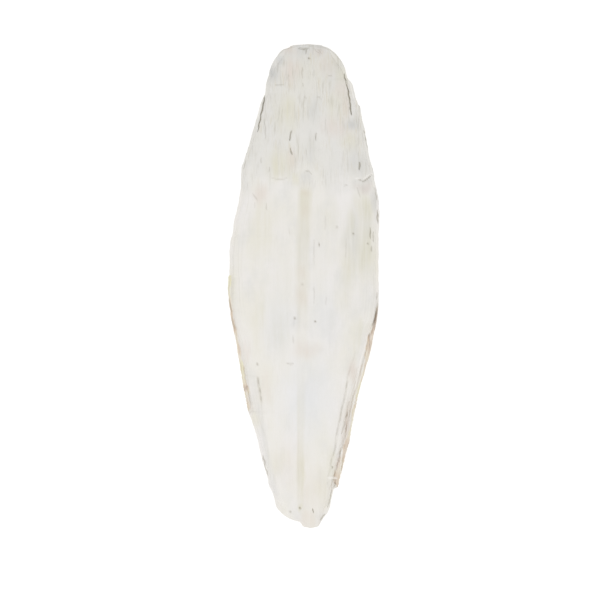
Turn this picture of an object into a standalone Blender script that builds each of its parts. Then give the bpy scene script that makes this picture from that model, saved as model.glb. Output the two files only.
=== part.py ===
"""A dry cuttlebone, one grown piece, lying on its domed back with the chalky belly up.

The long axis runs along Y, with the blunt front end at +Y and the broken tail tip at -Y. +X is the
right edge as seen from above. The origin is under the middle of the bone, on the table. Units are metres.
"""
import math

import bmesh
import bpy
from mathutils import Vector, noise

MM = 0.001
LEFT = 1
RIGHT = 2


def in_metres(rows):
    """Rows of millimetre values as rows of metres."""
    return [tuple(value * MM for value in row) for row in rows]


# Driving sizes
WIDTH = 50.4 * MM
LENGTH = 160 * MM
CREST_HEIGHT = 17 * MM
MARGIN_RISE = 5 * MM
RIM_THICKNESS = 0.9 * MM
FRONT_LIFT = 7.3 * MM
TAIL_LIFT = 8.6 * MM
LOWEST_ALONG = 5 * MM
RESTING_FLAT_DEPTH = 0.7 * MM

# Seen from above: distance along the bone, left edge, right edge
OUTLINE = in_metres([
    (-80.0, 0.8, 4.2), (-79.3, -0.2, 5.2), (-78.2, -0.9, 5.9), (-77.4, -3.6, 6.4), (-76.7, -5.2, 6.8),
    (-75.5, -6.8, 7.8), (-73.0, -9.0, 8.9), (-68.4, -10.3, 10.0), (-67.2, -11.0, 10.3),
    (-66.4, -11.3, 11.7), (-57.8, -13.7, 13.8), (-47.2, -16.1, 16.1), (-42.8, -17.2, 17.0),
    (-41.2, -18.3, 17.2), (-38.5, -19.1, 17.9), (-31.3, -20.3, 19.6), (-25.6, -21.2, 21.3),
    (-20.7, -22.1, 22.7), (-13.0, -23.7, 24.3), (-7.0, -24.7, 25.0), (-2.0, -25.1, 25.2),
    (2.6, -25.1, 25.1), (4.4, -24.5, 25.1), (15.5, -24.2, 25.2), (17.0, -23.6, 25.3),
    (24.0, -22.5, 25.6), (29.7, -21.1, 25.4), (34.0, -20.6, 24.3), (38.5, -20.4, 23.9),
    (42.0, -19.2, 22.5), (48.0, -17.6, 21.3), (58.8, -14.6, 19.1), (60.6, -14.1, 18.1),
    (66.4, -12.5, 16.6), (69.2, -11.9, 14.7), (72.1, -11.0, 14.0), (76.0, -8.8, 11.7),
    (78.5, -5.4, 8.9), (79.3, -4.3, 6.8), (80.0, -2.0, 5.4),
])

# Height of the belly's middle line over the table
CROWN = in_metres([
    (-80.0, 10.4), (-72.0, 10.3), (-60.0, 10.2), (-40.0, 11.6), (-20.0, 13.6), (0.0, 15.5), (20.0, 16.7),
    (34.0, 17.0), (48.0, 16.2), (60.0, 14.6), (70.0, 12.3), (76.0, 10.6), (80.0, 9.6),
])

# Middle line seen from above: it follows the long shallow furrow, then bends to the middle of each end
MIDDLE = in_metres([
    (-80.0, 2.6), (-76.0, 0.2), (-70.0, -1.0), (0.0, -0.3), (33.0, 0.7), (60.0, 1.6), (80.0, 1.7),
])

# Width of the thin rim outside the body: distance along, left, right
LEDGE = in_metres([
    (-80.0, 0.2, 0.3), (-67.2, 0.2, 0.4), (-66.4, 0.2, 1.4), (-60.0, 0.2, 1.7), (-50.0, 0.2, 1.5),
    (-42.8, 0.2, 1.3), (-41.2, 0.8, 1.3), (-30.0, 1.0, 1.1), (-14.0, 0.7, 1.2), (-10.0, 0.7, 0.3),
    (2.6, 0.9, 0.3), (4.4, 0.3, 0.3), (42.0, 0.3, 0.4), (48.0, 0.6, 1.2), (56.0, 1.0, 3.0),
    (63.0, 0.6, 2.0), (67.0, 0.3, 1.2), (71.0, 0.3, 0.4), (80.0, 0.3, 0.3),
])

# Depth of the gap between body and rim: distance along, left, right. It opens widest in three slits.
GAP_DEPTH = in_metres([
    (-80.0, 0.0, 0.0), (-66.0, 0.0, 0.3), (-60.0, 0.0, 0.4), (-42.0, 0.1, 0.3), (-38.0, 0.3, 0.2),
    (-16.0, 0.2, 0.4), (-12.5, 0.2, 0.9), (-9.0, 0.2, 1.1), (-4.5, 0.2, 0.2), (3.0, 0.2, 0.0),
    (6.0, 0.0, 0.0), (49.0, 0.0, 0.0), (53.0, 0.8, 0.1), (57.0, 1.3, 1.1), (61.0, 1.1, 1.4),
    (64.5, 0.2, 1.2), (69.0, 0.0, 0.7), (72.0, 0.0, 0.0), (80.0, 0.0, 0.0),
])
GAP_WIDTH = 0.6 * MM

# Long groove beside each inner limb: distance along, left and right distance from the middle line
LIMB_LINE = in_metres([
    (-80.0, 1.2, 1.2), (-74.0, 5.5, 6.2), (-68.0, 8.3, 9.2), (-60.0, 9.8, 11.2), (-50.0, 11.7, 12.0),
    (-43.0, 12.8, 13.3), (-37.0, 13.3, 14.6), (-30.0, 14.5, 15.7), (-22.0, 16.0, 17.8),
    (-10.0, 17.5, 18.5), (30.0, 16.0, 18.5), (60.0, 11.5, 12.5), (76.0, 6.5, 7.0), (80.0, 1.4, 1.6),
])
LIMB_DEPTH = in_metres([
    (-80.0, 0.0, 0.0), (-70.0, 0.1, 0.0), (-63.0, 0.2, 0.3), (-52.0, 0.2, 0.6), (-40.0, 0.2, 0.6),
    (-36.5, 0.7, 0.8), (-33.0, 0.8, 0.6), (-30.0, 0.4, 0.4), (-28.0, 0.0, 0.3), (-19.0, 0.0, 0.0),
    (80.0, 0.0, 0.0),
])
LIMB_WIDTH = 1.0 * MM
LIMB_LARGEST_SHARE = 0.86

# Furrow along the middle of the belly: distance along, half width, depth
FURROW = in_metres([
    (-80.0, 0.8, 0.0), (-70.0, 1.3, 0.2), (-48.0, 1.4, 0.3), (-12.0, 1.9, 0.3), (0.0, 2.2, 0.3),
    (30.0, 2.3, 0.2), (34.0, 2.2, 0.0), (80.0, 1.2, 0.0),
])
FURROW_LARGEST_SHARE = 0.3

# Crosswise growth step near the highest point: it runs forward toward both edges
STEP_ALONG = 34.3 * MM
STEP_FORWARD = 2.2 * MM
STEP_HEIGHT = 0.3 * MM
STEP_LENGTH = 0.9 * MM
STEP_FADE = 30 * MM

# Chips, cracks and hollows: place across, place along, half width, half length, depth
HOLLOWS = in_metres([
    (21.6, 35.4, 2.4, 1.0, 0.8),
    (0.4, 79.4, 1.8, 2.8, 1.0),
    (-10.2, 72.2, 2.4, 4.2, 1.2),
    (8.9, -78.0, 1.8, 3.2, 0.9),
    (-5.6, -77.2, 3.6, 2.4, 0.8),
    (13.9, -63.5, 1.2, 6.0, 0.7),
])

# Swelling of the cross section, and the rounded ends of the solid
MARGIN_POWER = 1.3
BOW_POWER = 2.0
END_ROUNDING = 4.5 * MM
TAIL_TROUGH = 0.8 * MM
TROUGH_START = -25 * MM
TROUGH_FULL = -55 * MM
DOME_POWER_TAIL = 3.6
DOME_POWER_FRONT = 2.3
DOME_EDGE_POWER = 0.92
WALL_FOOT_SHARE = 0.965
RIM_BEVEL_SHARE = 0.15
BACK_POWER = 2.2
BACK_FLANK_HOLLOW = 0.4 * MM
BACK_FLANK_PLACE = 0.62
BACK_FLANK_WIDTH = 0.12

# The body follows the outline averaged over this much of the length, so that chips stay in the rim
CALM_SHIFTS = (-6 * MM, -3 * MM, 0.0, 3 * MM, 6 * MM)
RIM_LEAST = 0.1 * MM

# Roughness of the worn surface
EDGE_WEAR = 0.28 * MM
EDGE_WEAR_PITCH = 4.5 * MM
BELLY_WAVE = 0.16 * MM
BELLY_WAVE_ACROSS = 4 * MM
BELLY_WAVE_ALONG = 26 * MM
BACK_LUMP = 0.18 * MM
BACK_LUMP_PITCH = 5 * MM
BACK_LUMP_FADE = 0.8
EDGE_LAYER = 7.0
BELLY_LAYER = 3.0
BACK_LAYER = 11.0

# Mesh layout: columns run round the bone, rings run along it
COLUMNS = 48
RINGS = 100
DOME_COLUMNS = 6
EVEN_RING_SHARE = 0.4
SMALLEST_FULL_HALF = 11 * MM

CHALK_COLOUR = (0.80, 0.77, 0.70, 1.0)
CHALK_ROUGHNESS = 0.88


def clear_scene():
    """Remove every object that is already in the file."""
    for old in list(bpy.data.objects):
        bpy.data.objects.remove(old, do_unlink=True)


def smooth_step(start, end, value):
    """0 at the start, 1 at the end, and a smooth rise between them."""
    part = min(max((value - start) / (end - start), 0.0), 1.0)
    return part * part * (3.0 - 2.0 * part)


def ridge(offset, half_width):
    """1 at the middle of a straight-sided ridge or groove, and 0 beyond its half width."""
    return max(1.0 - abs(offset) / half_width, 0.0)


def wave(first, second, layer):
    """Smooth noise between -1 and 1."""
    return noise.noise(Vector((first, second, layer)))


def steepness(stations, item, index):
    """Slope at one station of a smooth curve through them all, without overshoot."""
    slopes = []
    for first in (index - 1, index):
        if 0 <= first < len(stations) - 1:
            run = stations[first + 1][0] - stations[first][0]
            slopes.append((stations[first + 1][item] - stations[first][item]) / run)
    if len(slopes) == 1:
        return slopes[0]
    before, after = slopes
    if before * after <= 0.0:
        return 0.0
    return 2.0 * before * after / (before + after)


def along_curve(stations, item, along):
    """One value of a station list at a distance along the bone, on a smooth curve."""
    along = min(max(along, stations[0][0]), stations[-1][0])
    index = 0
    while index < len(stations) - 2 and stations[index + 1][0] < along:
        index += 1
    run = stations[index + 1][0] - stations[index][0]
    rise = stations[index + 1][item] - stations[index][item]
    part = (along - stations[index][0]) / run
    start_bend = rise - steepness(stations, item, index) * run
    end_bend = rise - steepness(stations, item, index + 1) * run
    bend = part * (1.0 - part) * ((1.0 - part) * start_bend - part * end_bend)
    return stations[index][item] + part * rise - bend


def ring_place(ring):
    """Distance along the bone of a ring, closer together toward both ends."""
    even = 1.0 - 2.0 * ring / RINGS
    crowded = math.cos(math.pi * ring / RINGS)
    return 0.5 * LENGTH * (EVEN_RING_SHARE * even + (1.0 - EVEN_RING_SHARE) * crowded)


def keel_height(along):
    """Height of the back's middle line, a shallow bow that lifts both ends off the table."""
    if along > LOWEST_ALONG:
        part = (along - LOWEST_ALONG) / (0.5 * LENGTH - LOWEST_ALONG)
        return FRONT_LIFT * part ** BOW_POWER
    part = (LOWEST_ALONG - along) / (0.5 * LENGTH + LOWEST_ALONG)
    return TAIL_LIFT * part ** BOW_POWER


def hollow_depth(across, along):
    """Depth of the chips and cracks at one place seen from above."""
    depth = 0.0
    for place_across, place_along, half_width, half_length, deep in HOLLOWS:
        reach = math.hypot((across - place_across) / half_width, (along - place_along) / half_length)
        depth += deep * (1.0 - smooth_step(0.0, 1.0, reach))
    return depth


class HalfSection:
    """One side of a cross section: its widths, and its heights from the belly round to the back."""

    def __init__(self, along, side):
        self.along = along
        self.side = side
        self.middle = along_curve(MIDDLE, 1, along)
        self.crown = along_curve(CROWN, 1, along)
        self.keel = keel_height(along)
        edge = self.edge_distance(along)
        wear = EDGE_WEAR * wave(along / EDGE_WEAR_PITCH, 0.0, EDGE_LAYER * side)
        self.half = edge + wear * smooth_step(0.0, SMALLEST_FULL_HALF, edge)
        calm = sum(self.edge_distance(along + shift) for shift in CALM_SHIFTS) / len(CALM_SHIFTS)
        self.margin = self.keel + MARGIN_RISE * (2.0 * calm / WIDTH) ** MARGIN_POWER
        self.shrink = min(self.half / SMALLEST_FULL_HALF, 1.0)
        self.gap = GAP_WIDTH * self.shrink
        inner = min(calm, self.half - RIM_LEAST * self.shrink)
        self.body = inner - along_curve(LEDGE, side, along) * self.shrink - self.gap
        self.limb = min(along_curve(LIMB_LINE, side, along), LIMB_LARGEST_SHARE * self.body)
        self.furrow = min(along_curve(FURROW, 1, along), FURROW_LARGEST_SHARE * self.limb)
        self.trough = TAIL_TROUGH * smooth_step(TROUGH_START, TROUGH_FULL, along)
        forward = smooth_step(TROUGH_FULL, STEP_ALONG, along)
        self.dome_power = DOME_POWER_TAIL + (DOME_POWER_FRONT - DOME_POWER_TAIL) * forward
        into_end = max(abs(along) - (0.5 * LENGTH - END_ROUNDING), 0.0) / END_ROUNDING
        self.end_share = math.sqrt(max(1.0 - into_end * into_end, 0.0))

    def edge_distance(self, along):
        """Distance of the drawn outline from the middle line."""
        return abs(along_curve(OUTLINE, self.side, along) - along_curve(MIDDLE, 1, along))

    def across(self, distance):
        """Place across the bone at a distance from the middle line."""
        return self.middle + (distance if self.side == RIGHT else -distance)

    def rounded(self, height):
        """A height drawn toward the middle of the solid's thickness, at the rounded ends."""
        centre = 0.5 * (self.margin + self.crown)
        return centre + (height - centre) * self.end_share

    def belly_distances(self):
        """Distances of the belly's columns from the middle line, out to the rim."""
        lip = 0.5 * LIMB_WIDTH * self.shrink
        dome_run = (self.limb - lip - self.furrow) / DOME_COLUMNS
        dome = [self.furrow + dome_run * column for column in range(1, DOME_COLUMNS + 1)]
        foot = WALL_FOOT_SHARE * self.body
        return [
            0.0, 0.5 * self.furrow, self.furrow, *dome, self.limb, self.limb + lip,
            0.5 * (self.limb + lip + foot), foot, self.body, self.body + 0.5 * self.gap,
            self.body + self.gap, self.half - RIM_BEVEL_SHARE * RIM_THICKNESS * self.shrink,
        ]

    def growth_step(self, distance):
        """Height that the front part gains at the crosswise step, fading forward."""
        line = STEP_ALONG + STEP_FORWARD * (2.0 * distance / WIDTH) ** 3
        ahead = smooth_step(0.0, STEP_LENGTH, self.along - line)
        return STEP_HEIGHT * ahead * (1.0 - smooth_step(0.0, STEP_FADE, self.along - line))

    def belly_height(self, distance):
        """Height of the belly and of the rim's upper face at a distance from the middle line."""
        across = self.across(distance)
        ledge_top = self.margin + 0.5 * RIM_THICKNESS
        share = min(distance / self.body, 1.0)
        dome = max(1.0 - share ** self.dome_power, 0.0) ** DOME_EDGE_POWER
        height = ledge_top + (self.crown - ledge_top + self.growth_step(distance)) * dome
        height -= self.trough * max(1.0 - (distance / self.limb) ** 2, 0.0)
        furrow_depth = along_curve(FURROW, 2, self.along)
        height -= furrow_depth * max(1.0 - (distance / self.furrow) ** 2, 0.0)
        gap_depth = along_curve(GAP_DEPTH, self.side, self.along)
        height -= gap_depth * ridge(distance - self.body - 0.5 * self.gap, 0.5 * self.gap)
        limb_depth = along_curve(LIMB_DEPTH, self.side, self.along)
        height -= limb_depth * ridge(distance - self.limb, 0.5 * LIMB_WIDTH)
        height += BELLY_WAVE * dome * wave(
            across / BELLY_WAVE_ACROSS, self.along / BELLY_WAVE_ALONG, BELLY_LAYER)
        return self.rounded(height - hollow_depth(across, self.along) * self.end_share)

    def back_height(self, share):
        """Height of the underside at a share of the way from the middle line to the rim."""
        edge_height = self.margin - 0.5 * RIM_THICKNESS
        height = self.keel + (edge_height - self.keel) * share ** BACK_POWER
        flank = math.exp(-((share - BACK_FLANK_PLACE) / BACK_FLANK_WIDTH) ** 2)
        height += BACK_FLANK_HOLLOW * flank * 2.0 * self.half / WIDTH
        across = self.across(share * self.half)
        lump = wave(across / BACK_LUMP_PITCH, self.along / BACK_LUMP_PITCH, BACK_LAYER)
        height += BACK_LUMP * lump * smooth_step(1.0, BACK_LUMP_FADE, share)
        return max(self.rounded(height - RESTING_FLAT_DEPTH), 0.0)

    def points(self):
        """Points from the middle of the belly round the rim to the middle of the back."""
        distances = self.belly_distances()
        points = [(self.across(distance), self.belly_height(distance)) for distance in distances]
        last = COLUMNS // 2 - len(distances)
        for column in range(last + 1):
            share = 1.0 - column / last
            points.append((self.across(share * self.half), self.back_height(share)))
        return points


def section_points(along):
    """Closed ring of points: belly middle, right rim, back middle, left rim."""
    right = HalfSection(along, RIGHT).points()
    left = HalfSection(along, LEFT).points()
    for shared in (0, -1):
        right[shared] = (right[shared][0], 0.5 * (right[shared][1] + left[shared][1]))
    return right + left[-2:0:-1]


def end_point(along):
    """The single point that closes one end of the bone."""
    half = HalfSection(along, RIGHT)
    return Vector((half.middle, along, half.rounded(half.crown)))


def shape_bone(mesh):
    """Move a ball's points onto the bone: its poles go to the two ends of the long axis."""
    rings = {ring: section_points(ring_place(ring)) for ring in range(1, RINGS)}
    for point in mesh.verts:
        place = point.co.copy()
        ring = round(math.acos(max(-1.0, min(1.0, place.z))) * RINGS / math.pi)
        if ring in rings:
            column = round(math.atan2(place.y, place.x) * COLUMNS / (2.0 * math.pi)) % COLUMNS
            across, height = rings[ring][column]
            point.co = Vector((across, ring_place(ring), height))
        else:
            point.co = end_point(ring_place(ring))


def fit_to_size(mesh):
    """Bring the worn shape to the driving sizes, centred over the origin and resting on the table."""
    for axis, size, anchor in ((0, WIDTH, 0.5), (1, LENGTH, 0.5), (2, CREST_HEIGHT, 0.0)):
        low = min(point.co[axis] for point in mesh.verts)
        high = max(point.co[axis] for point in mesh.verts)
        fixed = low + anchor * (high - low)
        for point in mesh.verts:
            point.co[axis] = (point.co[axis] - fixed) * size / (high - low)


def chalk_material():
    """Matt, slightly warm white of the dry bone."""
    material = bpy.data.materials.new("chalk")
    material.use_nodes = True
    shader = material.node_tree.nodes["Principled BSDF"]
    shader.inputs["Base Color"].default_value = CHALK_COLOUR
    shader.inputs["Roughness"].default_value = CHALK_ROUGHNESS
    shader.inputs["Metallic"].default_value = 0.0
    return material


def build_cuttlebone(collection):
    """The whole bone as one closed mesh."""
    mesh = bmesh.new()
    bmesh.ops.create_uvsphere(mesh, u_segments=COLUMNS, v_segments=RINGS, radius=1.0)
    shape_bone(mesh)
    fit_to_size(mesh)
    data = bpy.data.meshes.new("cuttlebone")
    mesh.to_mesh(data)
    mesh.free()
    data.shade_smooth()
    data.materials.append(chalk_material())
    collection.objects.link(bpy.data.objects.new("cuttlebone", data))


def main():
    clear_scene()
    collection = bpy.data.collections.new("cuttlebone")
    bpy.context.scene.collection.children.link(collection)
    build_cuttlebone(collection)


main()
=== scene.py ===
"""A dry cuttlebone lying on its domed back, seen from straight above in plain soft light.

One fine mesh stands for the bone: a chalky belly with slits, pits and a long furrow, a thin horny rim
along the tail half, and a grained back. Shape sizes are millimetres; the mesh is fitted to the CAD box.
"""

import math

import bpy
import numpy as np
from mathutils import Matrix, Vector, noise


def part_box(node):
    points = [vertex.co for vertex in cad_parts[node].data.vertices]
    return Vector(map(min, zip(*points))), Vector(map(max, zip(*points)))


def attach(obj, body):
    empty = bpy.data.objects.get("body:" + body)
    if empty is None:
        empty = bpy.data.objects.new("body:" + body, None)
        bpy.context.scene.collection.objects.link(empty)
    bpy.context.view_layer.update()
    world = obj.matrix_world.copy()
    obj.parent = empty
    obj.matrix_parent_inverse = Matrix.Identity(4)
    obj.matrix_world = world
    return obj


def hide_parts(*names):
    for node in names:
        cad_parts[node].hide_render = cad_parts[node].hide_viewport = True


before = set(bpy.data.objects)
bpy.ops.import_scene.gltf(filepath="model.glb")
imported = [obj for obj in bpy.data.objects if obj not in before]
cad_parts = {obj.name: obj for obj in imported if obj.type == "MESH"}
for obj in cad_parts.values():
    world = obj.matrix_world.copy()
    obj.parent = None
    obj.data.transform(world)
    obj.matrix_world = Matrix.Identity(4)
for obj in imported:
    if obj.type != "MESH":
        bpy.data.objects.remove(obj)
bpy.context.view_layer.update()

NODE = "cuttlebone"
MM = 0.001
LEFT = 1
RIGHT = 2

# Main sizes, as in the solid
WIDTH = 50.4
LENGTH = 160.0
MARGIN_RISE = 5.0
RIM_THICKNESS = 0.9
FRONT_LIFT = 7.3
TAIL_LIFT = 8.6
LOWEST_ALONG = 5.0
RESTING_FLAT_DEPTH = 0.7

# Seen from above: distance along the bone, left edge, right edge
OUTLINE = (
    (-80.0, 0.8, 4.2), (-79.3, -0.2, 5.2), (-78.2, -0.9, 5.9), (-77.4, -3.6, 6.4), (-76.7, -5.2, 6.8),
    (-75.5, -6.8, 7.8), (-73.0, -9.0, 8.9), (-71.0, -9.5, 9.4), (-68.4, -10.3, 10.0),
    (-67.0, -11.0, 10.3), (-66.6, -11.3, 11.6), (-64.0, -11.8, 12.2), (-57.8, -13.7, 13.8),
    (-47.2, -16.3, 16.3), (-43.4, -17.8, 16.9), (-41.4, -18.5, 17.4), (-38.5, -19.1, 17.9),
    (-31.3, -20.4, 19.8), (-25.4, -21.5, 21.6), (-24.8, -21.7, 21.9), (-20.7, -22.1, 22.7),
    (-13.0, -23.7, 24.4), (-7.0, -24.7, 25.2), (-2.0, -25.2, 25.4), (3.1, -25.3, 25.3),
    (3.5, -24.8, 25.3), (12.0, -24.6, 25.3), (15.5, -24.4, 25.3), (17.0, -23.7, 25.3),
    (20.5, -23.4, 25.5), (24.0, -22.6, 25.6), (29.7, -21.3, 25.1), (34.0, -20.9, 24.2),
    (38.8, -20.8, 23.3), (42.0, -19.6, 22.4), (48.0, -17.9, 21.3), (55.0, -15.8, 19.9),
    (59.5, -14.5, 19.0), (60.3, -14.2, 18.2), (64.0, -12.8, 17.2), (66.9, -12.4, 16.4),
    (69.2, -11.9, 14.7), (72.1, -11.0, 14.0), (76.0, -8.8, 11.7), (78.4, -6.6, 9.1),
    (78.8, -4.9, 8.5), (79.4, -4.2, 6.6), (80.0, -2.0, 5.4),
)

# Height of the belly's middle line over the table
CROWN = (
    (-80.0, 10.4), (-72.0, 10.3), (-60.0, 10.2), (-40.0, 11.6), (-20.0, 13.6), (0.0, 15.5), (20.0, 16.7),
    (34.0, 17.0), (48.0, 16.2), (60.0, 14.6), (70.0, 12.3), (76.0, 10.6), (80.0, 9.6),
)

# Middle line seen from above
MIDDLE = (
    (-80.0, 2.6), (-76.0, 0.2), (-70.0, -1.0), (0.0, -0.3), (33.0, 0.7), (60.0, 1.6), (80.0, 1.7),
)

# Width of the thin rim outside the body: distance along, left, right
LEDGE = (
    (-80.0, 0.2, 0.3), (-67.0, 0.2, 0.4), (-66.6, 0.2, 1.4), (-60.0, 0.2, 1.7), (-50.0, 0.2, 1.5),
    (-42.2, 0.2, 1.3), (-41.4, 0.8, 1.3), (-40.0, 1.0, 1.3), (-30.0, 1.0, 1.1), (-14.0, 0.7, 1.2),
    (-11.0, 0.7, 0.2), (-5.0, 0.8, 0.2), (3.1, 0.9, 0.3), (3.5, 0.3, 0.3), (80.0, 0.3, 0.3),
)

# Gap between body and rim: distance along, left depth, right depth, left painted shade, right painted shade
GAP = (
    (-80.0, 0.0, 0.0, 0.0, 0.0), (-66.0, 0.0, 0.3, 0.0, 0.15), (-60.0, 0.0, 0.4, 0.0, 0.2),
    (-42.0, 0.0, 0.3, 0.0, 0.15), (-38.0, 0.3, 0.2, 0.15, 0.1), (-28.0, 0.2, 0.2, 0.1, 0.1),
    (-24.0, 0.2, 0.3, 0.1, 0.2), (-16.0, 0.2, 0.3, 0.1, 0.15), (-12.5, 0.2, 0.4, 0.2, 0.2),
    (-9.0, 0.2, 0.6, 0.15, 0.45), (-6.5, 0.2, 0.3, 0.1, 0.2), (-4.5, 0.2, 0.2, 0.1, 0.1),
    (-2.0, 0.2, 0.0, 0.15, 0.0), (3.3, 0.2, 0.0, 0.1, 0.0), (3.6, 0.0, 0.0, 0.0, 0.0),
    (80.0, 0.0, 0.0, 0.0, 0.0),
)
GAP_WIDTH = 0.6

# Long groove beside each inner limb: distance along, left and right distance from the middle line
LIMB_LINE = (
    (-80.0, 1.2, 1.2), (-74.0, 5.5, 6.2), (-68.0, 8.3, 9.2), (-60.0, 9.8, 11.2), (-50.0, 11.7, 12.0),
    (-43.0, 12.8, 13.3), (-37.0, 13.3, 14.6), (-30.0, 14.5, 15.7), (-22.0, 16.0, 17.8),
    (-10.0, 17.5, 18.5), (30.0, 16.0, 18.5), (60.0, 11.5, 12.5), (76.0, 6.5, 7.0), (80.0, 1.4, 1.6),
)

# Depth of that groove and the shade painted into it: distance along, left depth, right depth, left painted
# shade, right painted shade
LIMB_DEPTH = (
    (-80.0, 0.0, 0.0, 0.0, 0.0), (-70.0, 0.1, 0.0, 0.0, 0.0), (-63.0, 0.15, 0.3, 0.05, 0.2),
    (-52.0, 0.15, 0.5, 0.05, 0.32), (-44.0, 0.15, 0.5, 0.05, 0.32), (-39.0, 0.3, 0.6, 0.1, 0.42),
    (-36.5, 0.7, 0.7, 0.45, 0.5), (-33.0, 0.8, 0.6, 0.5, 0.42), (-30.5, 0.6, 0.4, 0.35, 0.2),
    (-29.5, 0.0, 0.3, 0.0, 0.2), (-22.0, 0.0, 0.1, 0.0, 0.1), (-19.0, 0.0, 0.0, 0.0, 0.0),
    (80.0, 0.0, 0.0, 0.0, 0.0),
)
LIMB_WIDTH = 1.0
LIMB_LARGEST_SHARE = 0.86

# Furrow along the middle of the belly: distance along, half width, depth, strength of its tint
FURROW = (
    (-80.0, 0.8, 0.0, 0.0), (-74.5, 1.0, 0.1, 0.1), (-70.0, 1.3, 0.2, 0.4), (-62.0, 1.2, 0.25, 0.7),
    (-56.0, 1.2, 0.25, 0.6), (-48.0, 1.4, 0.25, 0.45), (-38.0, 1.5, 0.25, 0.35), (-28.0, 1.6, 0.25, 0.1),
    (-12.0, 1.9, 0.25, 0.2), (-6.0, 2.2, 0.25, 0.45), (2.0, 2.3, 0.25, 0.5), (12.0, 2.4, 0.25, 0.5),
    (22.0, 2.4, 0.25, 0.7), (30.0, 2.4, 0.2, 0.9), (33.5, 2.2, 0.0, 0.25), (37.0, 2.2, 0.0, 0.0),
    (80.0, 1.2, 0.0, 0.0),
)
FURROW_LARGEST_SHARE = 0.3

# Crosswise growth step near the highest point
STEP_ALONG = 34.3
STEP_FORWARD = 2.2
STEP_HEIGHT = 0.3
STEP_LENGTH = 0.9
STEP_FADE = 30.0

# Chips and hollows: place across, place along, half width, half length, depth
HOLLOWS = (
    (21.6, 35.4, 2.4, 1.0, 0.5),
    (0.4, 79.4, 1.8, 2.8, 1.0),
    (-10.2, 72.2, 2.4, 4.2, 1.2),
    (8.9, -78.0, 1.8, 3.2, 0.9),
    (-5.6, -77.2, 3.6, 2.4, 0.8),
    (13.9, -63.5, 1.2, 6.0, 0.7),
)
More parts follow.
